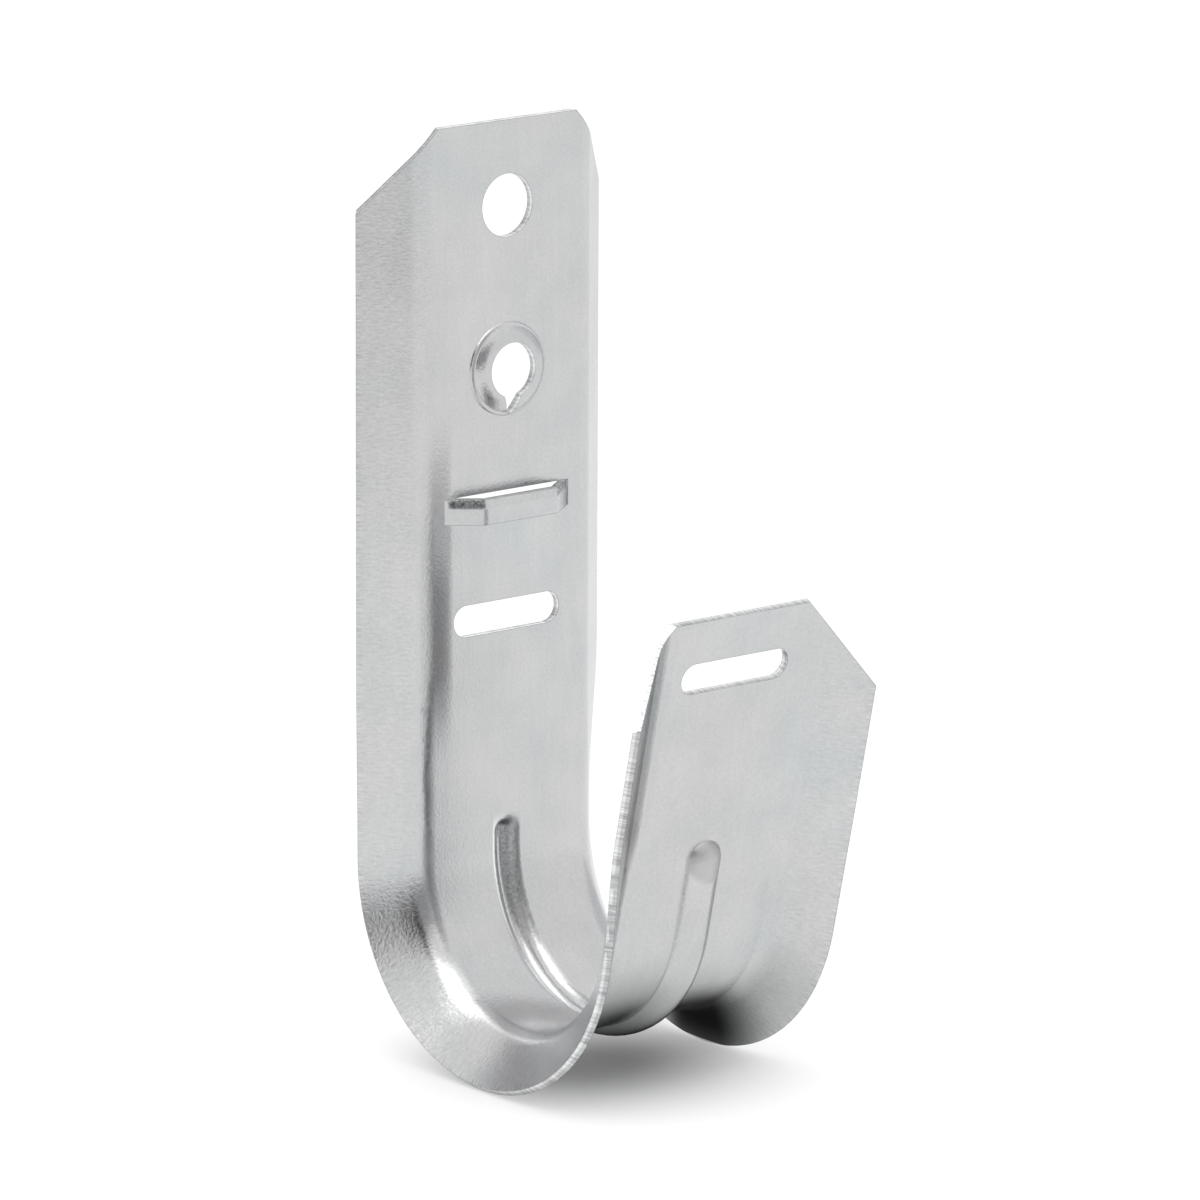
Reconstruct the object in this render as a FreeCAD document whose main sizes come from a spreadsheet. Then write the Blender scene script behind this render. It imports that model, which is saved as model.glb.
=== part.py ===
import FreeCAD, Part
import math
import os

import Sketcher
from FreeCAD import Vector

# J-shaped cable hook, stamped and folded from one galvanised steel strip. Millimetres.
# X runs across the strip, -Y points away from the wall to the open side, Z is up.
# The origin is the centre of the upper wall hole, on the face that looks at the cables.

SIZES = [
    ("hook_height", 104.67, "top edge down to the lowest point, on the saddle's flanges"),
    ("sheet_thickness", 0.9, "strip stock"),
    ("strip_width", 38.1, "flat blank, edge to edge along the cable side"),
    ("flat_width", 20.0, "flat middle between the two long bends"),
    ("bend_radius", 4.0, "long bends, cable-side face"),
    ("plate_angle", 42.0, "fold of the side flanges on the wall plate and at the lip's top"),
    ("saddle_angle", 50.0, "fold of the side flanges round the saddle"),
    ("saddle_radius", 16.0, "cable-side face of the J's curve"),
    ("top_margin", 9.6, "upper hole up to the top edge"),
    ("lip_lean", 12.7, "outward lean of the front lip, degrees"),
    ("lip_length", 38.7, "end of the curve to the lip's top edge"),
    ("corner_cut", 9.3, "45 degree corner cut of the blank"),
    ("steepen_start", 20.7, "height over the curve's centre where the flanges start to steepen"),
    ("steepen_end", 2.5, "height over the curve's centre where they reach the saddle angle"),
    ("lip_ease", 16.4, "run of the lip over which its flanges ease back"),
    ("wall_hole_dia", 7.1, "upper wall hole"),
    ("dimple_drop", 18.4, "upper hole down to the screw dimple"),
    ("dimple_dia", 10.6, "rim of the raised dimple"),
    ("dimple_height", 1.15, "dimple's rise towards the cables"),
    ("screw_hole_dia", 6.2, "hole in the dimple"),
    ("slit_width", 2.6, "mouth of the slit below the screw hole"),
    ("slit_mouth", 0.5, "slit's mouth, above the bottom of the screw hole"),
    ("slit_tip", 0.9, "tip of the slit"),
    ("slit_reach", 5.07, "screw hole's centre to the slit's tip"),
    ("strap_drop", 33.6, "upper hole down to the middle of the raised strap"),
    ("strap_height", 2.9, "strap's height, between its two shear cuts"),
    ("strap_margin", 0.85, "flat sheet left between a long bend and the strap's shear cuts"),
    ("strap_rise", 2.75, "strap's rise towards the cables"),
    ("strap_foot", 0.4, "level tab at each end of the strap"),
    ("strap_run", 3.6, "sloping part at each end of the strap"),
    ("strap_bend_radius", 0.5, "inner radius of the strap's bends"),
    ("slot_length", 15.0, "tie slots, end to end"),
    ("slot_height", 3.6, "tie slots"),
    ("plate_slot_drop", 46.4, "upper hole down to the plate's tie slot"),
    ("lip_slot_drop", 6.8, "lip's top edge down to its tie slot"),
    ("bead_depth", 1.5, "stiffening groove, below the cable-side face"),
    ("bead_radius", 0.85, "stiffening groove's round bottom"),
    ("bead_shoulder", 1.5, "rounding along the groove's cable-side edge"),
    ("bead_wall", 0.85, "sheet thickness at the bottom of the drawn groove"),
    ("ridge_radius", 2.6, "stiffening ridge's crown, on the outer face"),
    ("bead_rise", 1.5, "centre of the groove's upper end, above the curve's centre"),
    ("bead_lip_rise", 9.2, "centre of the groove's lip end, up the lip"),
]

# Sizes that follow from the others
DERIVED = [
    ("strap_length", "flat_width - 2 * strap_margin", "the strap's shear cuts, end to end"),
    ("saddle_flange", "(strip_width - flat_width) / 2 - bend_radius * saddle_angle * pi / 180",
     "straight part of a flange round the saddle"),
    ("fold_reach", "bend_radius * (1 - cos(saddle_angle)) + sheet_thickness * cos(saddle_angle)",
     "how far the bend and the sheet's edge stand out round the saddle"),
    ("flange_reach", "fold_reach + saddle_flange * sin(saddle_angle)",
     "saddle's cable-side face out to the flange's outermost edge"),
    ("saddle_drop", "hook_height - top_margin - saddle_radius - flange_reach",
     "upper hole down to the centre of the curve"),
]

LOFT_STEPS = 4
PUNCH_REACH = 4.0
OVERLAP = 0.5
TOLERANCE = 0.01
RIGHT_ANGLE = 90
HALF_TURN = 2 * RIGHT_ANGLE

os.makedirs("parts", exist_ok=True)
doc = FreeCAD.newDocument("cable_hook")

sheet = doc.addObject("Spreadsheet::Sheet", "sizes")
sheet_rows = SIZES + [(alias, f"={formula}", note) for alias, formula, note in DERIVED]
for row, (alias, value, note) in enumerate(sheet_rows, start=1):
    sheet.set(f"A{row}", alias)
    sheet.set(f"B{row}", str(value))
    sheet.set(f"C{row}", note)
    sheet.setAlias(f"B{row}", alias)
doc.recompute()
size = {alias: float(sheet.get(alias)) for alias, value, note in sheet_rows}

hook = doc.addObject("PartDesign::Body", "j_hook")
hook.Label = "j_hook"


# Sketches and features

def origin_plane(role):
    """One of the body's own origin planes."""
    return next(o for o in hook.Origin.OriginFeatures if o.Role == role)


def new_sketch(name, role, place=None):
    """A sketch on an origin plane, moved by a placement expression."""
    sketch = hook.newObject("Sketcher::SketchObject", name)
    sketch.AttachmentSupport = [(origin_plane(role), "")]
    sketch.MapMode = "FlatFace"
    if place:
        sketch.setExpression("AttachmentOffset", place)
    return sketch


def placed(x, y, z, axis="1; 0; 0", angle="0"):
    """The text of a placement: a shift, then a turn about an axis."""
    turn = f"create(<<rotation>>; create(<<vector>>; {axis}); {angle})"
    return f"create(<<placement>>; create(<<vector>>; {x}; {y}; {z}); {turn})"


def bind(sketch, kind, where, name, expression):
    """A named dimension of a sketch, tied to the sheet."""
    value = float(sketch.evalExpression(expression))
    if kind == "Angle":
        value = math.radians(value)
    index = sketch.addConstraint(Sketcher.Constraint(kind, *where, value))
    sketch.renameConstraint(index, name)
    sketch.setExpression(f"Constraints.{name}", expression)


def rules(sketch, *entries):
    """Geometric constraints, each a kind and the elements it joins."""
    sketch.addConstraint([Sketcher.Constraint(kind, *where) for kind, *where in entries])


def polar(centre, radius, degrees):
    angle = math.radians(degrees)
    return centre + Vector(radius * math.cos(angle), radius * math.sin(angle), 0)


def arc(centre, radius, first, last):
    circle = Part.Circle(centre, Vector(0, 0, 1), radius)
    return Part.ArcOfCircle(circle, math.radians(first), math.radians(last))


def mirrored_x(point):
    return Vector(-point.x, point.y, 0)


def outline(sketch, corners):
    """A closed outline of straight lines; each corner is a pair of expressions."""
    points = [Vector(*(float(sketch.evalExpression(text)) for text in corner), 0) for corner in corners]
    lines = [Part.LineSegment(a, b) for a, b in zip(points, points[1:] + points[:1])]
    sketch.addGeometry(lines, False)
    for i, corner in enumerate(corners):
        rules(sketch, ("Coincident", i, 2, (i + 1) % len(corners), 1))
        for kind, text in zip(("DistanceX", "DistanceY"), corner):
            bind(sketch, kind, (-1, 1, i, 1), f"{kind}_{i}", text)


def circle(sketch, y, diameter):
    """A circle on the centre line."""
    centre = Vector(0, float(sketch.evalExpression(y)), 0)
    radius = float(sketch.evalExpression(diameter)) / 2
    sketch.addGeometry(Part.Circle(centre, Vector(0, 0, 1), radius), False)
    bind(sketch, "DistanceY", (-1, 1, 0, 3), "height", y)
    rules(sketch, ("PointOnObject", 0, 3, -2))
    bind(sketch, "Diameter", (0,), "dia", diameter)


def feature(kind, name, profile, **properties):
    """A feature of a sketch; text is an expression, and anything else a plain value."""
    made = hook.newObject(f"PartDesign::{kind}", name)
    made.Profile = profile
    for key, value in properties.items():
        if key in ("Length", "Angle") and isinstance(value, str):
            made.setExpression(key, value)
        else:
            setattr(made, key, value)
    return made


def punch(name, profile):
    """A cut straight through the sheet, from both of its faces."""
    return feature("Pocket", name, profile, SideType="Symmetric", Length=2 * PUNCH_REACH)


def mirror(name, features):
    made = hook.newObject("PartDesign::Mirrored", name)
    made.Originals = features
    made.MirrorPlane = (origin_plane("YZ_Plane"), [""])
    hook.Tip = made


def round_edges(name, base, radius, wanted):
    """A fillet on the edges of base that the test picks."""
    doc.recompute()
    names = [f"Edge{i}" for i, edge in enumerate(base.Shape.Edges, start=1)
             if edge.Length > TOLERANCE and wanted(edge)]
    made = hook.newObject("PartDesign::Fillet", name)
    made.Base = (base, names)
    made.setExpression("Radius", radius)
    doc.recompute()
    return made


# Places along the strip. A section sketch stands across the sheet with its y axis pointing away
# from the cables. A face sketch lies on the sheet's cable side with its y axis up the sheet.

LIP_Y = "-sizes.saddle_radius * (1 + cos(sizes.lip_lean))"
LIP_Z = "-sizes.saddle_drop - sizes.saddle_radius * sin(sizes.lip_lean)"


def plate_section_at(height):
    return placed("0", "0", f"-sizes.saddle_drop + {height}")


def lip_section_at(rise):
    y = f"{LIP_Y} - {rise} * sin(sizes.lip_lean)"
    z = f"{LIP_Z} + {rise} * cos(sizes.lip_lean)"
    return placed("0", y, z, angle="sizes.lip_lean - 180")


PLATE_FACE = placed("0", "0", "0")
LIP_FACE = placed("0", LIP_Z, f"-({LIP_Y})", angle="sizes.lip_lean")


# Strip section: a flat middle, two bends and two straight flanges, all one sheet thick

def strip_section(name, place, angle):
    """The strip's section; angle is the expression of its flanges' fold."""
    sketch = new_sketch(name, "XY_Plane", place)
    flange_text = f"(sizes.strip_width - sizes.flat_width) / 2 - sizes.bend_radius * ({angle}) * pi / 180"
    fold, flange = float(sketch.evalExpression(angle)), float(sketch.evalExpression(flange_text))
    half, radius, wall = size["flat_width"] / 2, size["bend_radius"], size["sheet_thickness"]
    centre, corner, outer_corner = Vector(half, radius, 0), Vector(half, 0, 0), Vector(half, wall, 0)
    bend_end, across = polar(centre, radius, fold - 90), polar(Vector(), wall, fold + 90)
    tip = bend_end + polar(Vector(), flange, fold)
    flip, line = mirrored_x, Part.LineSegment
    sketch.addGeometry([
        line(flip(corner), corner),
        arc(centre, radius, -90, fold - 90),
        line(bend_end, tip),
        line(tip, tip + across),
        line(tip + across, bend_end + across),
        arc(centre, radius - wall, -90, fold - 90),
        line(outer_corner, flip(outer_corner)),
        arc(flip(centre), radius - wall, -90 - fold, -90),
        line(flip(bend_end + across), flip(tip + across)),
        line(flip(tip + across), flip(tip)),
        line(flip(tip), flip(bend_end)),
        arc(flip(centre), radius, -90 - fold, -90),
    ], False)
    rules(
        sketch,
        ("Tangent", 0, 2, 1, 1), ("Tangent", 1, 2, 2, 1), ("Coincident", 2, 2, 3, 1),
        ("Perpendicular", 2, 3), ("Coincident", 3, 2, 4, 1), ("Tangent", 4, 2, 5, 2),
        ("Tangent", 5, 1, 6, 1), ("Coincident", 5, 3, 1, 3), ("Parallel", 4, 2),
        ("Tangent", 6, 2, 7, 2), ("Tangent", 7, 1, 8, 1), ("Coincident", 8, 2, 9, 1),
        ("Coincident", 9, 2, 10, 1), ("Tangent", 10, 2, 11, 1), ("Tangent", 11, 2, 0, 1),
        ("Coincident", 7, 3, 11, 3), ("Perpendicular", 10, 9), ("Parallel", 8, 10),
        ("Symmetric", 0, 1, 0, 2, -2), ("PointOnObject", 0, 1, -1),
        ("Symmetric", 2, 2, 10, 1, -2), ("Equal", 3, 9), ("Equal", 1, 11),
    )
    bind(sketch, "DistanceX", (0, 1, 0, 2), "flat", "sizes.flat_width")
    bind(sketch, "Radius", (1,), "bend", "sizes.bend_radius")
    bind(sketch, "Distance", (3,), "wall", "sizes.sheet_thickness")
    bind(sketch, "Angle", (2,), "fold", angle)
    bind(sketch, "Distance", (2,), "flange", flange_text)
    return sketch


def easing_sections(name, section_at, run, first, last):
    """Sections whose fold changes smoothly between two sizes, at even steps of a run."""
    sections = []
    for step in range(LOFT_STEPS + 1):
        share = step / LOFT_STEPS
        eased = share * share * (3 - 2 * share)
        angle = f"sizes.{first} + (sizes.{last} - sizes.{first}) * {eased}"
        sections.append(strip_section(f"{name}_{step}", section_at(run(share)), angle))
    return sections


# Wall plate, and the stretch where its flanges steepen

plate_sections = easing_sections(
    "plate_section", plate_section_at,
    lambda share: f"sizes.steepen_start + (sizes.steepen_end - sizes.steepen_start) * {share}",
    "plate_angle", "saddle_angle")
feature("Pad", "wall_plate", plate_sections[0],
        Length="sizes.saddle_drop - sizes.steepen_start + sizes.top_margin")
feature("AdditiveLoft", "steepening", plate_sections[0], Sections=plate_sections[1:])
feature("Pad", "plate_foot", plate_sections[-1], Length="sizes.steepen_end", Reversed=True)

# Saddle: the section turned about the centre of the J's curve

saddle_section = strip_section("saddle_section", plate_section_at("0"), "sizes.saddle_angle")
half, drop = size["flat_width"] / 2, -size["saddle_radius"]
axis = saddle_section.addGeometry(Part.LineSegment(Vector(-half, drop, 0), Vector(half, drop, 0)), True)
rules(saddle_section, ("Horizontal", axis))
bind(saddle_section, "DistanceY", (-1, 1, axis, 1), "axis_y", "-sizes.saddle_radius")
bind(saddle_section, "DistanceX", (-1, 1, axis, 1), "axis_left", "-sizes.flat_width / 2")
bind(saddle_section, "DistanceX", (axis, 1, axis, 2), "axis_length", "sizes.flat_width")
feature("Revolution", "saddle", saddle_section, ReferenceAxis=(saddle_section, ["Axis0"]),
        Angle="180 - sizes.lip_lean", Reversed=True)

# Front lip, whose flanges ease back to the plate's fold

lip_sections = easing_sections(
    "lip_section", lip_section_at, lambda share: f"sizes.lip_ease * {share}",
    "saddle_angle", "plate_angle")
feature("AdditiveLoft", "lip_easing", lip_sections[0], Sections=lip_sections[1:])
feature("Pad", "lip", lip_sections[-1], Length="sizes.lip_length - sizes.lip_ease", Reversed=True)

# Corner cuts of the blank: one plane through the fold follows the 45 degree line of the flat blank
# over the flat, the bend and the flange, and is mirrored to the far side

FLAT_HALF = "sizes.flat_width / 2"
CUT_INSET = "(sizes.strip_width / 2 - sizes.corner_cut - sizes.flat_width / 2)"


def bend_face(sign):
    """From a face sketch to one square to the middle of the bend; sign is 1 for a fold outwards."""
    return placed(FLAT_HALF, "0", "0", axis="0; 1; 0", angle=f"-({sign}) * sizes.plate_angle / 2")


def cut_corners(name, face, sign, top):
    """Cuts both corners of an end of the strip; top is the end's height in the face sketch."""
    shrink = "cos(sizes.plate_angle / 2)"
    inner_x = f"({CUT_INSET} - {OVERLAP}) * {shrink}"
    outer_x = f"({CUT_INSET} + sizes.corner_cut + {OVERLAP}) * {shrink}"
    over, under = f"{top} + {OVERLAP}", f"{top} - sizes.corner_cut - {OVERLAP}"
    corner = new_sketch(f"{name}_corner_outline", "XZ_Plane", f"{face} * {bend_face(sign)}")
    outline(corner, [(inner_x, over), (outer_x, under), (outer_x, over)])
    mirror(f"{name}_corners", [punch(f"{name}_corner", corner)])


cut_corners("plate", PLATE_FACE, -1, "sizes.top_margin")
cut_corners("lip", LIP_FACE, 1, "sizes.lip_length")

# Wall hole and the two tie slots

hole = new_sketch("wall_hole_outline", "XZ_Plane", PLATE_FACE)
circle(hole, "0", "sizes.wall_hole_dia")
punch("wall_hole", hole)


def tie_slot(name, face, y):
    """A round-ended slot across the strip."""
    sketch = new_sketch(f"{name}_outline", "XZ_Plane", face)
    middle, radius = float(sketch.evalExpression(y)), size["slot_height"] / 2
    reach = size["slot_length"] / 2 - radius
    right, left = Vector(reach, middle, 0), Vector(-reach, middle, 0)
    up = Vector(0, radius, 0)
    sketch.addGeometry([
        Part.LineSegment(left - up, right - up),
        arc(right, radius, -RIGHT_ANGLE, RIGHT_ANGLE),
        Part.LineSegment(right + up, left + up),
        arc(left, radius, RIGHT_ANGLE, 3 * RIGHT_ANGLE),
    ], False)
    rules(
        sketch,
        ("Tangent", 0, 2, 1, 1), ("Tangent", 1, 2, 2, 1), ("Tangent", 2, 2, 3, 1),
        ("Tangent", 3, 2, 0, 1), ("Horizontal", 0), ("Equal", 1, 3),
    )
    bind(sketch, "DistanceY", (-1, 1, 1, 3), "height", y)
    bind(sketch, "Radius", (1,), "end_radius", "sizes.slot_height / 2")
    half_run = "(sizes.slot_length - sizes.slot_height) / 2"
    bind(sketch, "DistanceX", (-1, 1, 1, 3), "right", half_run)
    bind(sketch, "DistanceX", (-1, 1, 3, 3), "left", f"-{half_run}")
    punch(name, sketch)


tie_slot("plate_slot", PLATE_FACE, "-sizes.plate_slot_drop")
tie_slot("lip_slot", LIP_FACE, "sizes.lip_length - sizes.lip_slot_drop")

# Raised strap: an opening between two shear cuts, and the band that was pushed out of it

STRAP_LOW = "-sizes.strap_drop - sizes.strap_height / 2"
STRAP_HALF = "sizes.strap_length / 2"
FOOT = f"({STRAP_HALF} - sizes.strap_foot)"
SHOULDER = f"({STRAP_HALF} - sizes.strap_foot - sizes.strap_run)"
WALL_SHIFT = "sizes.sheet_thickness * tan(atan(sizes.strap_rise / sizes.strap_run) / 2)"
opening = new_sketch("strap_opening_outline", "XZ_Plane", PLATE_FACE)
outline(opening, [
    (f"-{STRAP_HALF}", STRAP_LOW), (STRAP_HALF, STRAP_LOW),
    (STRAP_HALF, f"{STRAP_LOW} + sizes.strap_height"),
    (f"-{STRAP_HALF}", f"{STRAP_LOW} + sizes.strap_height"),
])
punch("strap_opening", opening)

band_half = [
    (STRAP_HALF, "0"), (FOOT, "0"), (SHOULDER, "-sizes.strap_rise"),
]
band_half_back = [
    (f"{SHOULDER} - {WALL_SHIFT}", "sizes.sheet_thickness - sizes.strap_rise"),
    (f"{FOOT} - {WALL_SHIFT}", "sizes.sheet_thickness"),
    (STRAP_HALF, "sizes.sheet_thickness"),
]
band = new_sketch("strap_outline", "XY_Plane", placed("0", "0", STRAP_LOW))
other_half = [(f"-({x})", y) for x, y in reversed(band_half)]
other_half_back = [(f"-({x})", y) for x, y in reversed(band_half_back)]
outline(band, band_half + other_half + other_half_back + band_half_back)
strap = feature("Pad", "strap", band, Length="sizes.strap_height")


def upright_at(x, y):
    """Picks edges that run straight up at a place in plan, on either side of the centre line."""
    wanted_x, wanted_y = (float(band.evalExpression(text)) for text in (x, y))

    def picks(edge):
        low, high = edge.Vertexes[0].Point, edge.Vertexes[-1].Point
        flat = math.hypot(high.x - low.x, high.y - low.y)
        apart = math.hypot(abs(low.x) - wanted_x, low.y - wanted_y)
        return flat < TOLERANCE and apart < TOLERANCE and abs(high.z - low.z) > TOLERANCE
    return picks


STRAP_INNER, STRAP_OUTER = "sizes.strap_bend_radius", "sizes.strap_bend_radius + sizes.sheet_thickness"
for name, radius, place in (
        ("strap_shoulders", STRAP_OUTER, band_half[2]),
        ("strap_shoulder_backs", STRAP_INNER, band_half_back[0]),
        ("strap_feet", STRAP_INNER, band_half[1]),
        ("strap_foot_backs", STRAP_OUTER, band_half_back[1])):
    strap = round_edges(name, strap, radius, upright_at(*place))

# Screw dimple: its disc is cut out of the plate and a ring of the same sheet stands in its place,
# rising from a creased rim to level off at the screw hole, with a tapered slit below the hole

DIMPLE_Y = "-sizes.dimple_drop"
disc = new_sketch("dimple_disc", "XZ_Plane", PLATE_FACE)
circle(disc, DIMPLE_Y, "sizes.dimple_dia")
punch("dimple_opening", disc)

ring = new_sketch("dimple_section", "YZ_Plane", placed("0", DIMPLE_Y, "0"))
rim, bore, rise = size["dimple_dia"] / 2, size["screw_hole_dia"] / 2, size["dimple_height"]
wall, run = size["sheet_thickness"], rim - bore
crown = (run ** 2 + rise ** 2) / (2 * rise)
crown_centre = Vector(crown - rise, bore, 0)
front = HALF_TURN - math.degrees(math.asin(run / crown))
ring.addGeometry([
    arc(crown_centre, crown, front, HALF_TURN),
    Part.LineSegment(Vector(-rise, bore, 0), Vector(wall - rise, bore, 0)),
    Part.LineSegment(Vector(wall - rise, bore, 0), Vector(wall, rim, 0)),
    Part.LineSegment(Vector(wall, rim, 0), Vector(0, rim, 0)),
], False)
rules(
    ring,
    ("Coincident", 0, 2, 1, 1), ("Coincident", 1, 2, 2, 1), ("Coincident", 2, 2, 3, 1),
    ("Coincident", 3, 2, 0, 1), ("Horizontal", 0, 3, 0, 2), ("Horizontal", 1), ("Horizontal", 3),
    ("PointOnObject", 3, 2, -2),
)
bind(ring, "DistanceY", (-1, 1, 3, 2), "rim", "sizes.dimple_dia / 2")
bind(ring, "DistanceY", (-1, 1, 0, 3), "bore", "sizes.screw_hole_dia / 2")
bind(ring, "DistanceX", (-1, 1, 0, 2), "rise", "-sizes.dimple_height")
bind(ring, "DistanceX", (3, 2, 3, 1), "wall", "sizes.sheet_thickness")
bind(ring, "DistanceX", (1, 1, 1, 2), "crown_wall", "sizes.sheet_thickness")
feature("Revolution", "dimple", ring, ReferenceAxis=(ring, ["H_Axis"]), Angle="360")

SLIT_MOUTH = "sizes.slit_mouth - sizes.screw_hole_dia / 2"
slit = new_sketch("slit_outline", "XZ_Plane", placed("0", DIMPLE_Y, "0"))
outline(slit, [
    ("-sizes.slit_width / 2", SLIT_MOUTH),
    ("-sizes.slit_tip / 2", "-sizes.slit_reach"),
    ("sizes.slit_tip / 2", "-sizes.slit_reach"),
    ("sizes.slit_width / 2", SLIT_MOUTH),
])
punch("slit", slit)

# Stiffening bead round the saddle: a ridge on the outer face and a soft-shouldered groove on the
# cable side follow one path, and both end in domes

BEAD_CENTRE = "(sizes.bead_depth - sizes.bead_radius)"
RIDGE_CENTRE = "(sizes.bead_depth + sizes.bead_wall - sizes.ridge_radius)"
path = new_sketch("bead_path", "YZ_Plane", placed("-sizes.saddle_radius", "-sizes.saddle_drop", "0"))
path_radius = size["saddle_radius"] + size["bead_depth"] - size["bead_radius"]
lip_start = polar(Vector(), path_radius, size["lip_lean"] - HALF_TURN)
path.addGeometry([
    Part.LineSegment(Vector(path_radius, size["bead_rise"], 0), Vector(path_radius, 0, 0)),
    arc(Vector(), path_radius, size["lip_lean"] - HALF_TURN, 0),
    Part.LineSegment(lip_start, polar(lip_start, size["bead_lip_rise"], size["lip_lean"] + RIGHT_ANGLE)),
], False)
rules(path, ("Vertical", 0), ("Coincident", 1, 3, -1, 1), ("Tangent", 0, 2, 1, 2), ("Tangent", 1, 1, 2, 1))
bind(path, "Radius", (1,), "radius", f"sizes.saddle_radius + {BEAD_CENTRE}")
bind(path, "Distance", (0,), "rise", "sizes.bead_rise")
bind(path, "Distance", (2,), "lip_rise", "sizes.bead_lip_rise")
bind(path, "Angle", (2,), "lean", "sizes.lip_lean + 90")
PATH_EDGES = (path, ["Edge1", "Edge2", "Edge3"])


def ridge_outline(name, place, half_only):
    """The ridge's section, from inside the sheet to its crown; half of it for a dome."""
    sketch = new_sketch(name, "XY_Plane", place)
    radius, chord = size["ridge_radius"], size["sheet_thickness"] / 2
    centre = Vector(0, size["bead_depth"] + size["bead_wall"] - radius, 0)
    reach = math.sqrt(radius ** 2 - (chord - centre.y) ** 2)
    right, left = Vector(reach, chord, 0), Vector(-reach, chord, 0)
    first = math.degrees(math.atan2(chord - centre.y, reach))
    if half_only:
        foot, top = Vector(0, chord, 0), Vector(0, centre.y + radius, 0)
        sketch.addGeometry([
            Part.LineSegment(foot, right), arc(centre, radius, first, 90), Part.LineSegment(top, foot),
        ], False)
        rules(sketch, ("PointOnObject", 0, 1, -2), ("Vertical", 2), ("Coincident", 1, 2, 2, 1),
              ("Coincident", 2, 2, 0, 1))
    else:
        sketch.addGeometry([
            Part.LineSegment(left, right), arc(centre, radius, first, 180 - first),
        ], False)
        rules(sketch, ("Coincident", 1, 2, 0, 1))
    rules(sketch, ("Horizontal", 0), ("Coincident", 0, 2, 1, 1), ("PointOnObject", 1, 3, -2))
    bind(sketch, "DistanceY", (-1, 1, 0, 2), "chord", "sizes.sheet_thickness / 2")
    bind(sketch, "DistanceY", (-1, 1, 1, 3), "centre", RIDGE_CENTRE)
    bind(sketch, "Radius", (1,), "radius", "sizes.ridge_radius")
    return sketch


def groove_outline(name, place, half_only):
    """The groove's section, from over the sheet down to its bottom; half of it for a dome."""
    sketch = new_sketch(name, "XY_Plane", place)
    radius, shoulder = size["bead_radius"], size["bead_shoulder"]
    centre = Vector(0, size["bead_depth"] - radius, 0)
    reach = math.sqrt((radius + shoulder) ** 2 - (shoulder - centre.y) ** 2)
    over, edge, right = Vector(reach, -OVERLAP, 0), Vector(reach, 0, 0), Vector(reach, shoulder, 0)
    turn = math.degrees(math.atan2(shoulder - centre.y, reach))
    if half_only:
        start, end = Vector(0, -OVERLAP, 0), RIGHT_ANGLE
    else:
        start, end = mirrored_x(over), HALF_TURN - turn
    sketch.addGeometry([
        Part.LineSegment(start, over),
        Part.LineSegment(over, edge),
        arc(right, shoulder, HALF_TURN + turn, 3 * RIGHT_ANGLE),
        arc(centre, radius, turn, end),
    ], False)
    rules(
        sketch,
        ("Horizontal", 0), ("Coincident", 0, 2, 1, 1), ("Vertical", 1), ("Coincident", 1, 2, 2, 2),
        ("PointOnObject", 2, 2, -1), ("Vertical", 2, 3, 2, 2), ("Tangent", 2, 1, 3, 1),
        ("PointOnObject", 3, 3, -2),
    )
    if half_only:
        sketch.addGeometry([Part.LineSegment(centre + Vector(0, radius, 0), start)], False)
        rules(sketch, ("Coincident", 3, 2, 4, 1), ("Coincident", 4, 2, 0, 1), ("Vertical", 4),
              ("PointOnObject", 0, 1, -2))
    else:
        sketch.addGeometry([
            arc(mirrored_x(right), shoulder, -RIGHT_ANGLE, -turn),
            Part.LineSegment(mirrored_x(edge), start),
        ], False)
        rules(sketch, ("Tangent", 3, 2, 4, 2), ("Vertical", 4, 3, 4, 1), ("PointOnObject", 4, 1, -1),
              ("Coincident", 4, 1, 5, 1), ("Vertical", 5), ("Coincident", 5, 2, 0, 1), ("Equal", 2, 4))
    bind(sketch, "DistanceY", (0, 2, -1, 1), "over", str(OVERLAP))
    bind(sketch, "DistanceY", (-1, 1, 3, 3), "centre", BEAD_CENTRE)
    bind(sketch, "Radius", (3,), "radius", "sizes.bead_radius")
    bind(sketch, "Radius", (2,), "shoulder", "sizes.bead_shoulder")
    return sketch


bead_ends = {
    "plate": plate_section_at("sizes.bead_rise"),
    "lip": lip_section_at("sizes.bead_lip_rise"),
}
ridge = ridge_outline("ridge_section", bead_ends["plate"], half_only=False)
feature("AdditivePipe", "ridge", ridge, Spine=PATH_EDGES)
for end, place in bead_ends.items():
    dome = ridge_outline(f"ridge_dome_{end}", place, half_only=True)
    feature("Revolution", f"ridge_end_{end}", dome, ReferenceAxis=(dome, ["V_Axis"]), Angle="360")
groove = groove_outline("groove_section", bead_ends["plate"], half_only=False)
feature("SubtractivePipe", "groove", groove, Spine=PATH_EDGES)
for end, place in bead_ends.items():
    dome = groove_outline(f"groove_dome_{end}", place, half_only=True)
    feature("Groove", f"groove_end_{end}", dome, ReferenceAxis=(dome, ["V_Axis"]), Angle="360")

doc.recompute()
for item in doc.Objects:
    if "Invalid" in item.State or "Error" in item.State:
        raise RuntimeError(f"{item.Name} failed: {item.State}")
shape = hook.Shape
if shape.isNull() or not shape.isValid() or len(shape.Solids) != 1:
    raise RuntimeError("the hook is not one valid solid")
shape.exportStep(f"parts/{hook.Label}.step")
print(hook.Label, round(shape.Volume, 1), "mm3", len(shape.Faces), "faces", shape.BoundBox)
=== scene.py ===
import math

import bmesh
import bpy
from mathutils import Matrix, Vector


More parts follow.
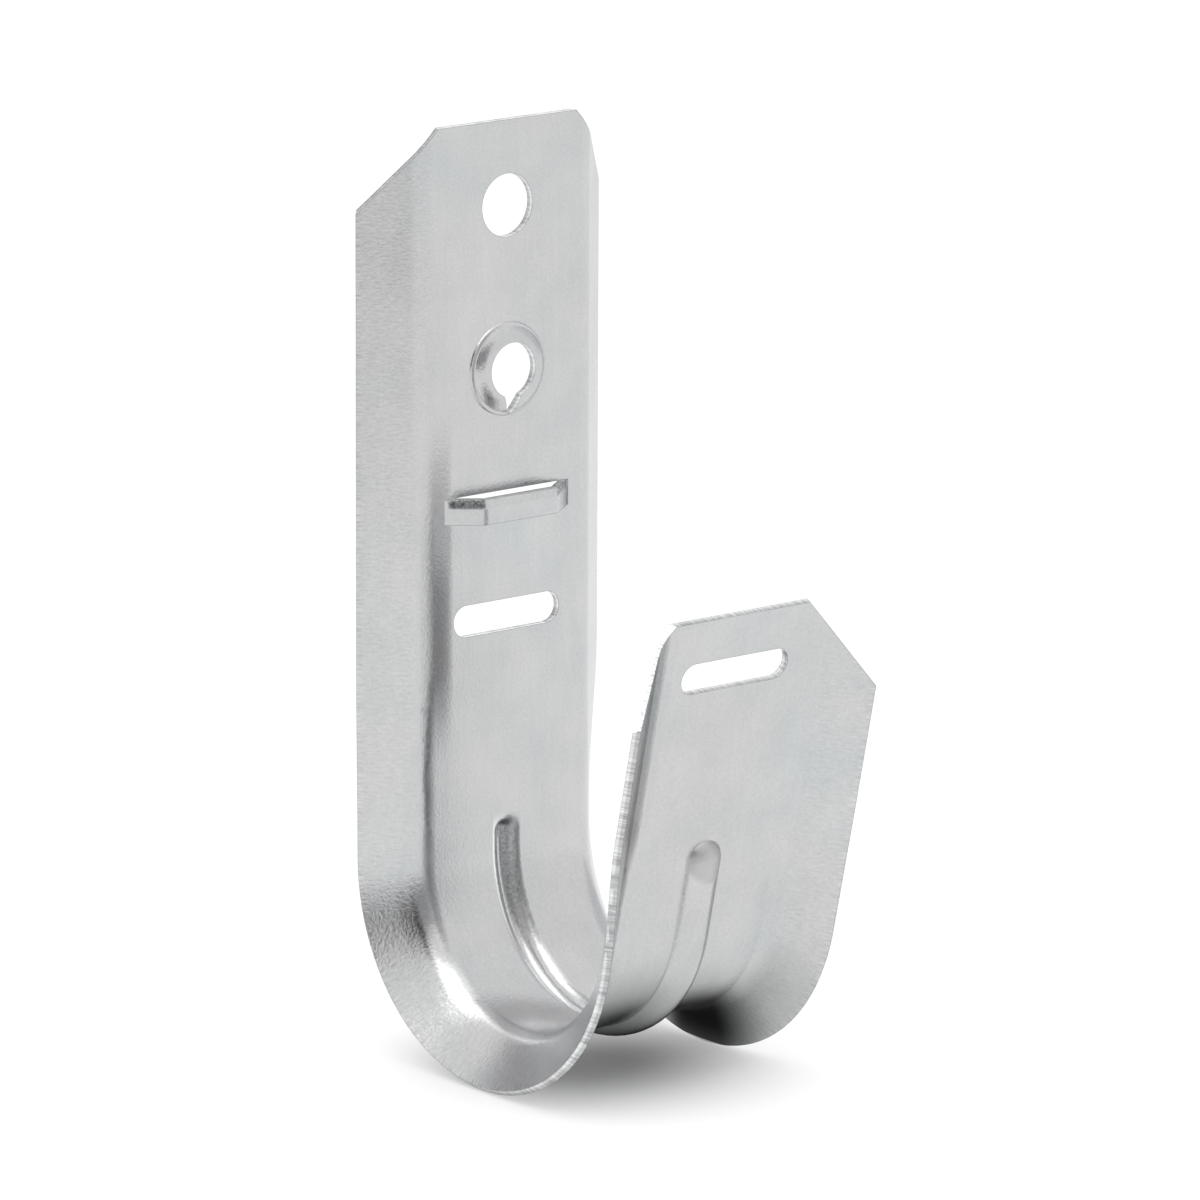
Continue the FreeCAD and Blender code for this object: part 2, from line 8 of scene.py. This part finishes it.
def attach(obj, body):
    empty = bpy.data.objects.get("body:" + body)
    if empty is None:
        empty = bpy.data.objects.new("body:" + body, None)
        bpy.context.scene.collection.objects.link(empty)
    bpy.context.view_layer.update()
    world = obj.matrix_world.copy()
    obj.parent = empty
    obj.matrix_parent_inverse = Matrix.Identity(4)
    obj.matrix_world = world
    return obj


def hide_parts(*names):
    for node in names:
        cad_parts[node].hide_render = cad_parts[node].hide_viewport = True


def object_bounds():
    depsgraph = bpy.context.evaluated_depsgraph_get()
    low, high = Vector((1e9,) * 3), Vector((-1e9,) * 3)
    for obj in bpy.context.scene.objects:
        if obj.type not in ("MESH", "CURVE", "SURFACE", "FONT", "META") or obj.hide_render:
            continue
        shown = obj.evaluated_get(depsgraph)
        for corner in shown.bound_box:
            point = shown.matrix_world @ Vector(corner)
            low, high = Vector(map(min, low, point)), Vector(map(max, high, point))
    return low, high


# Folded galvanised cable hook on a pale floor. Metres; X runs across the strip, -Y is the open
# side and Z is up, with the origin at the upper wall hole.

MM = 0.001

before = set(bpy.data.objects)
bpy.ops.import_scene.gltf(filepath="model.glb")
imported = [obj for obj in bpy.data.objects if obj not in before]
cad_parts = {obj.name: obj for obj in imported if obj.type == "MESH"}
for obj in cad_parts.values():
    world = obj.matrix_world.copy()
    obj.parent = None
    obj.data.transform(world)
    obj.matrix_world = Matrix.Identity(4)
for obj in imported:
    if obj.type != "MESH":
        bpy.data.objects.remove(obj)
cad_low, cad_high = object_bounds()
middle = (cad_low + cad_high) / 2


def millimetres(*sizes):
    return tuple(size * MM for size in sizes)


# Node material helpers

class Socket:
    """A shader socket that takes part in Python arithmetic."""

    def __init__(self, tree, socket):
        self.tree = tree
        self.socket = socket

    def node(self, kind, settings=None, output=0, inputs=None):
        """Adds a node: its settings first, then values or links by the input's name or number."""
        made = self.tree.nodes.new(kind)
        for key, value in (settings or {}).items():
            setattr(made, key, value)
        for key, value in (inputs or {}).items():
            if isinstance(value, Socket):
                self.tree.links.new(value.socket, made.inputs[key])
            else:
                made.inputs[key].default_value = value
        return Socket(self.tree, made.outputs[output])

    def maths(self, operation, *values):
        return self.node("ShaderNodeMath", {"operation": operation}, inputs=dict(enumerate(values)))

    def vector_maths(self, operation, *values, output="Vector"):
        return self.node(
            "ShaderNodeVectorMath", {"operation": operation}, output, dict(enumerate(values)))

    def axis(self, name):
        """A vector's X, Y or Z."""
        return self.node("ShaderNodeSeparateXYZ", output=name, inputs={"Vector": self})

    def __add__(self, other):
        return self.maths("ADD", self, other)

    __radd__ = __add__

    def __sub__(self, other):
        return self.maths("SUBTRACT", self, other)

    def __rsub__(self, other):
        return self.maths("SUBTRACT", other, self)

    def __mul__(self, other):
        return self.maths("MULTIPLY", self, other)

    __rmul__ = __mul__

    def __abs__(self):
        return self.maths("ABSOLUTE", self)

    def feed(self, target):
        self.tree.links.new(self.socket, target)


def new_material(name):
    """A node material, its main shader, and the Object coordinates to pattern it with."""
    made = bpy.data.materials.new(name)
    made.use_nodes = True
    tree = made.node_tree
    coordinates = tree.nodes.new("ShaderNodeTexCoord")
    return made, tree.nodes["Principled BSDF"], Socket(tree, coordinates.outputs["Object"])


def noise(where, scale, stretch=(1, 1, 1), detail=2.0):
    """Noise about 0, mostly within 0.25 of it; scale counts the grains in a metre."""
    stretched = where.vector_maths("MULTIPLY", where, stretch)
    return stretched.node("ShaderNodeTexNoise", inputs={
        "Vector": stretched, "Scale": scale, "Detail": detail, "Roughness": 0.6}) - 0.5


def rise(value, start, end):
    """A soft step from 0 at the start to 1 at the end."""
    return value.node("ShaderNodeMapRange", {"interpolation_type": "SMOOTHSTEP"}, inputs={
        "Value": value, "From Min": start, "From Max": end})


def band(value, first_edge, last_edge):
    """1 between two soft edges and 0 beyond them."""
    return rise(value, *first_edge) - rise(value, *last_edge)


def show_blend(tree, share, below, above):
    """Shows two shaders, mixed by the share of the one above."""
    blend = tree.nodes.new("ShaderNodeMixShader")
    share.feed(blend.inputs["Fac"])
    tree.links.new(below.outputs["BSDF"], blend.inputs[1])
    tree.links.new(above.outputs["Emission"], blend.inputs[2])
    tree.links.new(blend.outputs["Shader"], tree.nodes["Material Output"].inputs["Surface"])


def seen_rays(tree):
    """1 for the rays that see a background: straight from the camera, in metal or through glass."""
    paths = tree.nodes.new("ShaderNodeLightPath")
    seen = Socket(tree, paths.outputs["Is Camera Ray"])
    for kind in ("Is Glossy Ray", "Is Transmission Ray"):
        seen = seen.maths("MAXIMUM", seen, Socket(tree, paths.outputs[kind]))
    return seen


# The hook: a welded copy of the frame's mesh, so that the folds are smooth and the sheared edges
# crisp. Each point knows its place on the flat blank it was folded from.

CREASE = math.radians(28)
SHEAR = math.radians(60)
WELD = 0.002 * MM
SQUARE_ON = 0.9999

THICKNESS, FLAT_HALF, BEND_RADIUS = millimetres(0.9, 10.0, 4.0)
SADDLE_Y, SADDLE_Z, SADDLE_RADIUS = millimetres(-16.0, -72.77, 16.0)
SADDLE_TURN = math.pi - math.radians(12.7)


def welded_copy(source, name):
    """A copy of a frame piece with joined points, smooth faces and sharp creases."""
    mesh = source.data.copy()
    shape = bmesh.new()
    shape.from_mesh(mesh)
    bmesh.ops.remove_doubles(shape, verts=shape.verts, dist=WELD)
    for edge in shape.edges:
        edge.smooth = edge.is_manifold and edge.calc_face_angle(0.0) < CREASE
    for face in shape.faces:
        face.smooth = True
    shape.to_mesh(mesh)
    shape.free()
    made = bpy.data.objects.new(name, mesh)
    bpy.context.scene.collection.objects.link(made)
    return made


def unrolled(point):
    """How far along the strip a point lies (down the plate, round the saddle, then up the lip) and
    how deep it lies behind the flat middle's cable side."""
    y, z = point.y - SADDLE_Y, point.z - SADDLE_Z
    angle = math.atan2(-z, y)
    if angle < -math.pi / 2:
        angle += 2 * math.pi
    turned = min(max(angle, 0.0), SADDLE_TURN)
    out, ahead = (math.cos(turned), -math.sin(turned)), (-math.sin(turned), -math.cos(turned))
    along = SADDLE_RADIUS * turned
    if turned != angle:
        along += y * ahead[0] + z * ahead[1]
        return along, y * out[0] + z * out[1] - SADDLE_RADIUS
    return along, math.hypot(y, z) - SADDLE_RADIUS


def unfolded(x, depth, radius):
    """How far across the sheet a point lies from the strip's middle, round the long bend."""
    if abs(x) < FLAT_HALF:
        return x
    sideways, up = abs(x) - FLAT_HALF, BEND_RADIUS - depth
    straight = math.sqrt(max(sideways ** 2 + up ** 2 - radius ** 2, 0.0))
    angle = math.atan2(sideways, up) - math.atan2(straight, radius)
    return math.copysign(FLAT_HALF + BEND_RADIUS * angle + straight, x)


def plate_face(shape, depth):
    """The largest flat face of the wall plate, this deep behind its cable side."""
    found = [face for face in shape.faces if abs(face.normal.y) > SQUARE_ON
             and abs(face.calc_center_median().y - depth) < WELD]
    return max(found, key=lambda face: face.calc_area())


def skin_round(first):
    """The faces of one skin of the sheet: all those reached without turning over a sheared edge."""
    found, waiting = {first}, [first]
    while waiting:
        for edge in waiting.pop().edges:
            if edge.is_manifold and edge.calc_face_angle(0.0) < SHEAR:
                fresh = [face for face in edge.link_faces if face not in found]
                found.update(fresh)
                waiting += fresh
    return found


def mark_blank(made):
    """Stores each point's place on the flat blank, with 0 on the cable side's skin and 1 off it,
    and on each face whether a tool sheared it."""
    shape = bmesh.new()
    shape.from_mesh(made.data)
    point_mark = shape.verts.layers.float_vector.new("blank")
    face_mark = shape.faces.layers.float.new("sheared")
    shape.normal_update()
    cable_side = skin_round(plate_face(shape, 0.0))
    outside = skin_round(plate_face(shape, THICKNESS))
    for vertex in shape.verts:
        side = 0.0 if any(face in cable_side for face in vertex.link_faces) else 1.0
        along, depth = unrolled(vertex.co)
        across = unfolded(vertex.co.x, depth, BEND_RADIUS - side * THICKNESS)
        vertex[point_mark] = (across, along, side)
    for face in shape.faces:
        face[face_mark] = 0.0 if face in cable_side or face in outside else 1.0
    shape.to_mesh(made.data)
    shape.free()


hook = welded_copy(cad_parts["j_hook"], "folded_hook")
mark_blank(hook)
flatten = hook.modifiers.new("flat_faces", "WEIGHTED_NORMAL")
flatten.mode = "FACE_AREA_WITH_ANGLE"
flatten.keep_sharp = True
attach(hook, "root")
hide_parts("j_hook")


# Galvanised steel: zinc with a fine grain, faint clouds and rolling streaks, rippled flanges, and
# sheared edges with the tool's marks. The marks lie in places with soft edges, each given by where
# it starts and where it ends.

# Across the flat blank, either way from its middle
FOLD_EDGE, FLARE_EDGE = millimetres(7.5, 11.8), millimetres(12.5, 15.2)
FLANGE_EDGE, MARGIN_EDGE = millimetres(12.2, 13.4), millimetres(18.1, 18.9)
STRAP_END, STRAP_SLOPE = millimetres(9.1, 9.3), millimetres(5.0, 5.4)
BEAD_SIDE = millimetres(3.0, 3.6)
# Across the groove, from its near rim to its far one
NEAR_RIM, GROOVE_BOTTOM, FAR_RIM = (
    millimetres(-1.95, -1.7), millimetres(-0.3, 0.4), millimetres(1.5, 2.2))
# Along the blank, from the end of the straight plate
SADDLE_BEGINS, SADDLE_ENDS = millimetres(-24, -10), millimetres(50, 62)
GROOVE_BEGINS, GROOVE_CLEARS = millimetres(-4, -1), millimetres(7, 13)
BEAD_BEGINS = millimetres(-6, -5)
# Up the folded hook, and out of its plate
STRAP_FOOT, STRAP_SHEAR, STRAP_DARK_TOP = (
    millimetres(-34.0, -33.4), millimetres(-33.3, -31.4), millimetres(-33.3, -32.7))
PLATE_UPPER_HALF = millimetres(-45, 0)
STRAP_PROUD = millimetres(0.1, 0.5)
# Round the bead's upper end on the lip's outer skin, and round the dimple
RIDGE_END, RIDGE_END_RIM = (0.0, 55.9 * MM, 1.0), millimetres(1.9, 2.7)
DIMPLE, DIMPLE_RIM = (0.0, 0.0, -18.4 * MM), millimetres(5.7, 6.3)
# From the cable side's skin, 0, to the outer one, 1
BREAK = (0.35, 0.55)

# Shares by which the patterns and places change the zinc's shade
ZINC_COOL, ZINC_WARM = (0.565, 0.583, 0.586, 1.0), (0.585, 0.578, 0.583, 1.0)
TINT_EDGE = (-0.2, 0.2)
CLOUD_SHADE, STREAK_SHADE, SPECKLE_SHADE = 0.2, 0.07, 0.26
RIPPLE_SHADE, FLANGE_TOP_PAINTED_SHADE, TICK_SHADE = 0.22, 0.11, 0.6
GROOVE_SPECKLE, GROOVE_PAINTED_SHADE, NEAR_WALL_PAINTED_HIGHLIGHT = 0.8, 0.26, 0.6
SLOPE_END_SPECKLE, SLOPE_END_DARKENING = 1.6, 0.4
TOOL_MARK_SHADE, SHEARED_SHADE, BROKEN_SHADE = 1.3, 0.25, 0.35
EDGE_PAINTED_SHADE, EDGE_SHADE_SPECKLE, DRAWN_EDGE_SHADE_CUT = 2.4, 8.0, 0.7
DARKEST = 0.1

ROUGHNESS, SPECKLE_ROUGHNESS = 0.22, 0.1
GROOVE_ROUGHNESS, RIDGE_END_ROUGHNESS, BROKEN_ROUGHNESS = 0.22, 0.35, 0.12

# Heights in millimetres
SOFT_FOLD, SOFT_FLARE, DRAWN_OVER = 0.66, -0.05, 0.5
SPECKLE_HEIGHT, RIPPLE_HEIGHT, TICK_HEIGHT, TOOL_MARK_HEIGHT = 0.024, 0.008, 0.02, 0.03
BURR_RADIUS = 0.14 * MM

steel, shader, place = new_material("galvanised_steel")
blank = place.node("ShaderNodeAttribute", {"attribute_name": "blank"}, output="Vector")
sheared = place.node("ShaderNodeAttribute", {"attribute_name": "sheared"}, output="Fac")
across, along, side = blank.axis("X"), blank.axis("Y"), blank.axis("Z")
from_middle = abs(across)
height, proud = place.axis("Z"), -1.0 * place.axis("Y")

clouds = noise(place, 130.0)
streaks = noise(blank, 900.0, stretch=(1, 0.12, 1))
speckle = noise(place, 3000.0, detail=3.0)
ripples = noise(blank, 3400.0, stretch=(0.28, 1, 1), detail=1.0)
ticks = noise(blank, 4200.0, stretch=(0.08, 1, 0), detail=1.0)
tool_marks = noise(blank, 3600.0, stretch=(1, 1, 0), detail=1.0)

skin = 1.0 - sheared
flange = rise(from_middle, *FLANGE_EDGE) * skin
margin = rise(from_middle, *MARGIN_EDGE) * skin

# The punch burnishes a wall's cable side, and the rest of it breaks off rough
broken = rise(side, *BREAK) * sheared

# The drawn groove's bottom and far wall are rougher, and painted shade darkens them, while painted
# highlight lightens its near wall. On the outside, the ridge ends in a dull dome.
groove_length = band(along, GROOVE_BEGINS, GROOVE_CLEARS) * (1.0 - side)
groove = band(across, GROOVE_BOTTOM, FAR_RIM) * groove_length
near_wall_highlight = band(across, NEAR_RIM, GROOVE_BOTTOM) * groove_length
ridge_end = 1.0 - rise(blank.vector_maths("DISTANCE", blank, RIDGE_END, output="Value"), *RIDGE_END_RIM)

# The strap's upper edge is drawn over by its shear cut, and its sloping ends are darker and speckled near
# the top
strap = rise(proud, *STRAP_PROUD) * (1.0 - rise(from_middle, *STRAP_END)) * rise(height, *STRAP_FOOT)
drawn_over = strap * rise(height, *STRAP_SHEAR)
darker_slope_ends = strap * rise(from_middle, *STRAP_SLOPE) * rise(height, *STRAP_DARK_TOP)

# Sharp edges are rounded over by a burr's width, and painted shade darkens them and the creases, less so
# on drawn
# forms: the strap, the dimple and the bead
rounded = place.node("ShaderNodeBevel", {"samples": 4}, inputs={"Radius": BURR_RADIUS})
own_normal = place.node("ShaderNodeNewGeometry", output="Normal")
edge_and_crease_mask = 1.0 - rounded.vector_maths("DOT_PRODUCT", rounded, own_normal, output="Value")
from_dimple = place.vector_maths("DISTANCE", place, DIMPLE, output="Value")
bead = (1.0 - rise(from_middle, *BEAD_SIDE)) * rise(along, *BEAD_BEGINS)
drawn = strap + (1.0 - rise(from_dimple, *DIMPLE_RIM)) + bead
painted_edge_shade = edge_and_crease_mask * (EDGE_PAINTED_SHADE + speckle * EDGE_SHADE_SPECKLE) * (
    1.0 - drawn.maths("MINIMUM", drawn, 1.0) * DRAWN_EDGE_SHADE_CUT)

tint = rise(noise(place, 65.0), *TINT_EDGE)
colour = tint.node("ShaderNodeMix", {"data_type": "RGBA"}, output=2, inputs={
    0: tint, 6: ZINC_COOL, 7: ZINC_WARM})
shade = (1.0 + clouds * CLOUD_SHADE + streaks * STREAK_SHADE + speckle * SPECKLE_SHADE
         # Painted shade darkens the flanges' upper half
         + flange * (ripples * RIPPLE_SHADE - rise(height, *PLATE_UPPER_HALF) * FLANGE_TOP_PAINTED_SHADE)
         + margin * ticks * TICK_SHADE
         # Painted shade darkens the groove's bottom and far wall, and painted highlight lightens its near
         # wall
         + groove * (speckle * GROOVE_SPECKLE - GROOVE_PAINTED_SHADE) + near_wall_highlight * NEAR_WALL_PAINTED_HIGHLIGHT
         + darker_slope_ends * (speckle * SLOPE_END_SPECKLE - SLOPE_END_DARKENING)
         + sheared * (tool_marks * TOOL_MARK_SHADE + SHEARED_SHADE)
         - broken * BROKEN_SHADE - painted_edge_shade)
shaded = colour.node("ShaderNodeVectorMath", {"operation": "SCALE"}, inputs={
    0: colour, "Scale": shade.maths("MAXIMUM", shade, DARKEST)})
shaded.feed(shader.inputs["Base Color"])

roughness = (ROUGHNESS + speckle * SPECKLE_ROUGHNESS + groove * GROOVE_ROUGHNESS
             + ridge_end * RIDGE_END_ROUGHNESS + broken * BROKEN_ROUGHNESS)
roughness.feed(shader.inputs["Roughness"])
shader.inputs["Metallic"].default_value = 1.0

# The folds of the plate and lip start softly, and so do the flares beside the saddle. The two are
# mixed as normals, because a height that fades along the strip would be a slope there.
facing_out = side * 2.0 - 1.0
soft_fold = rise(from_middle, *FOLD_EDGE) * facing_out * SOFT_FOLD
soft_flare = rise(from_middle, *FLARE_EDGE) * facing_out * SOFT_FLARE
relief = (skin * drawn_over * facing_out * DRAWN_OVER + speckle * SPECKLE_HEIGHT
          + flange * ripples * RIPPLE_HEIGHT + margin * ticks * TICK_HEIGHT
          + sheared * tool_marks * TOOL_MARK_HEIGHT)


def bumped(soft_start):
    """The rounded normal with the relief and, on the sheet's skins, a soft start's height."""
    return relief.node("ShaderNodeBump", inputs={
        "Strength": 1.0, "Distance": MM, "Height": relief + skin * soft_start, "Normal": rounded})


round_saddle = band(along, SADDLE_BEGINS, SADDLE_ENDS)
normal = round_saddle.node("ShaderNodeMix", {"data_type": "VECTOR"}, output=1, inputs={
    0: round_saddle, 4: bumped(soft_fold), 5: bumped(soft_flare)})
normal.feed(shader.inputs["Normal"])
hook.data.materials.clear()
hook.data.materials.append(steel)


# Floor: pale. Its glow keeps it white where it lies open and fades out towards the hook's foot, so
# the contact shadow stays whole.

FOOT = (0, -15 * MM, cad_low.z)
FLOOR_SIZE, FLOOR_COLOUR, FLOOR_ROUGHNESS = 12.0, (0.85, 0.85, 0.85, 1.0), 0.9
GLOW_SHARE, GLOW_LEVEL = 0.68, 1.24
GLOW_EDGE = millimetres(3, 30)

floor_material, floor_shader, floor_place = new_material("pale_floor")
floor_shader.inputs["Base Color"].default_value = FLOOR_COLOUR
floor_shader.inputs["Roughness"].default_value = FLOOR_ROUGHNESS
floor_shader.inputs["Specular IOR Level"].default_value = 0.0
tree = floor_material.node_tree
glow = tree.nodes.new("ShaderNodeEmission")
glow.inputs["Strength"].default_value = GLOW_LEVEL
from_foot = floor_place.vector_maths("LENGTH", floor_place, output="Value")
show_blend(tree, seen_rays(tree) * rise(from_foot, *GLOW_EDGE) * GLOW_SHARE, floor_shader, glow)

bpy.ops.mesh.primitive_plane_add(size=FLOOR_SIZE, location=FOOT)
floor = bpy.context.object
floor.name = "floor"
floor.data.materials.append(floor_material)


# Studio light: a white surround that the camera and the metal see, and softboxes that light it

WORLD_LIGHT = 0.6

world = bpy.data.worlds.new("studio")
bpy.context.scene.world = world
world.use_nodes = True
background = world.node_tree.nodes["Background"]
background.inputs["Color"].default_value = (1, 1, 1, 1)
surround = seen_rays(world.node_tree) * (1.0 - WORLD_LIGHT) + WORLD_LIGHT
surround.feed(background.inputs["Strength"])


def direction(azimuth, elevation):
    """Azimuth 0 is +Y and 90 is +X, in degrees."""
    a, e = math.radians(azimuth), math.radians(elevation)
    return Vector((math.sin(a) * math.cos(e), math.cos(a) * math.cos(e), math.sin(e)))


def facing(made, azimuth, elevation, distance):
    """Puts an object on a bearing from the hook's middle, with its -Z side towards the hook."""
    made.rotation_mode = "QUATERNION"
    made.location = middle + direction(azimuth, elevation) * distance
    made.rotation_quaternion = (-direction(azimuth, elevation)).to_track_quat("-Z", "Y")


def softbox(name, azimuth, elevation, distance, width, height, level):
    """A soft lamp; level is what it adds to the white surround, as seen in the metal."""
    lamp = bpy.data.lights.new(name, "AREA")
    lamp.shape = "RECTANGLE"
    lamp.size, lamp.size_y = width, height
    lamp.energy = level * math.pi * width * height
    made = bpy.data.objects.new(name, lamp)
    bpy.context.scene.collection.objects.link(made)
    facing(made, azimuth, elevation, distance)


softbox("side_softbox", azimuth=-100, elevation=68, distance=1.1, width=0.85, height=0.8, level=1.8)
softbox("top_softbox", azimuth=165, elevation=82, distance=1.3, width=1.0, height=0.9, level=0.4)
softbox("back_softbox", azimuth=34, elevation=8, distance=1.3, width=0.3, height=0.5, level=0.25)


# Cards that only the metal sees, which set the shades of its flat and bent faces apart

COOL_BLUE = 1.03
FOOT_CARD_PLACE = (9 * MM, -15 * MM, cad_low.z + 0.3 * MM)


def card(name, azimuth, elevation, distance, width, height, level, soft):
    """A glowing card; level is its brightness, and soft the share of its rim that fades out."""
    made_material, card_shader, card_place = new_material(name)
    tree = made_material.node_tree
    tree.nodes.remove(card_shader)
    glow = tree.nodes.new("ShaderNodeEmission")
    glow.inputs["Color"].default_value = (level, level, level * COOL_BLUE, 1.0)
    inside = 1.0
    for axis in ("X", "Y"):
        inside = inside * (1.0 - rise(abs(card_place.axis(axis)), 0.5 - soft, 0.5))
    show_blend(tree, inside, tree.nodes.new("ShaderNodeBsdfTransparent"), glow)
    bpy.ops.mesh.primitive_plane_add(size=1.0)
    made = bpy.context.object
    made.name = name
    made.scale = (width, height, 1.0)
    facing(made, azimuth, elevation, distance)
    made.data.materials.append(made_material)
    for ray in ("camera", "diffuse", "transmission", "volume_scatter", "shadow"):
        setattr(made, f"visible_{ray}", False)
    return made


card("room_card", azimuth=-147, elevation=10, distance=1.6, width=2.5, height=1.5, level=0.39, soft=0.14)
card("dark_card", azimuth=-123.5, elevation=20, distance=1.5, width=0.62, height=0.9, level=0.0, soft=0.16)
card("side_card", azimuth=90, elevation=17, distance=1.6, width=1.9, height=2.1, level=0.78, soft=0.25)
card("wall_card", azimuth=-10, elevation=20, distance=1.6, width=1.5, height=1.4, level=0.42, soft=0.35)
# One more, nearly black, lies under the hook as a painted shadow that only the flares mirror
foot_shadow_card = card(
    "foot_shadow_card", azimuth=0, elevation=-89, distance=0.1, width=0.035, height=0.027, level=0.01, soft=0.38)
foot_shadow_card.location = FOOT_CARD_PLACE


# Camera: measured from the photograph's own edges

TARGET = Vector((0.0, -25.0, -37.8)) * MM
HEADING, TILT, ROLL = math.radians(39.635), math.radians(13.164), math.radians(0.321)
DISTANCE = 1.0417
LENS, SENSOR = 286.05, 36.0
SHIFT = (-0.0415, -0.0173)
CLIP = (0.05, 30.0)

look = Vector((math.sin(HEADING) * math.cos(TILT), math.cos(HEADING) * math.cos(TILT), -math.sin(TILT)))
level = Vector((math.cos(HEADING), -math.sin(HEADING), 0.0))
up = level.cross(look)
right = level * math.cos(ROLL) + up * math.sin(ROLL)
top = up * math.cos(ROLL) - level * math.sin(ROLL)
lens = bpy.data.cameras.new("camera")
lens.lens, lens.sensor_width = LENS, SENSOR
lens.shift_x, lens.shift_y = SHIFT
lens.clip_start, lens.clip_end = CLIP
camera = bpy.data.objects.new("camera", lens)
bpy.context.scene.collection.objects.link(camera)
turn = Matrix((right, top, -look)).transposed()
camera.matrix_world = Matrix.Translation(TARGET - look * DISTANCE) @ turn.to_4x4()
bpy.context.scene.camera = camera
bpy.context.scene.view_settings.view_transform = "Standard"
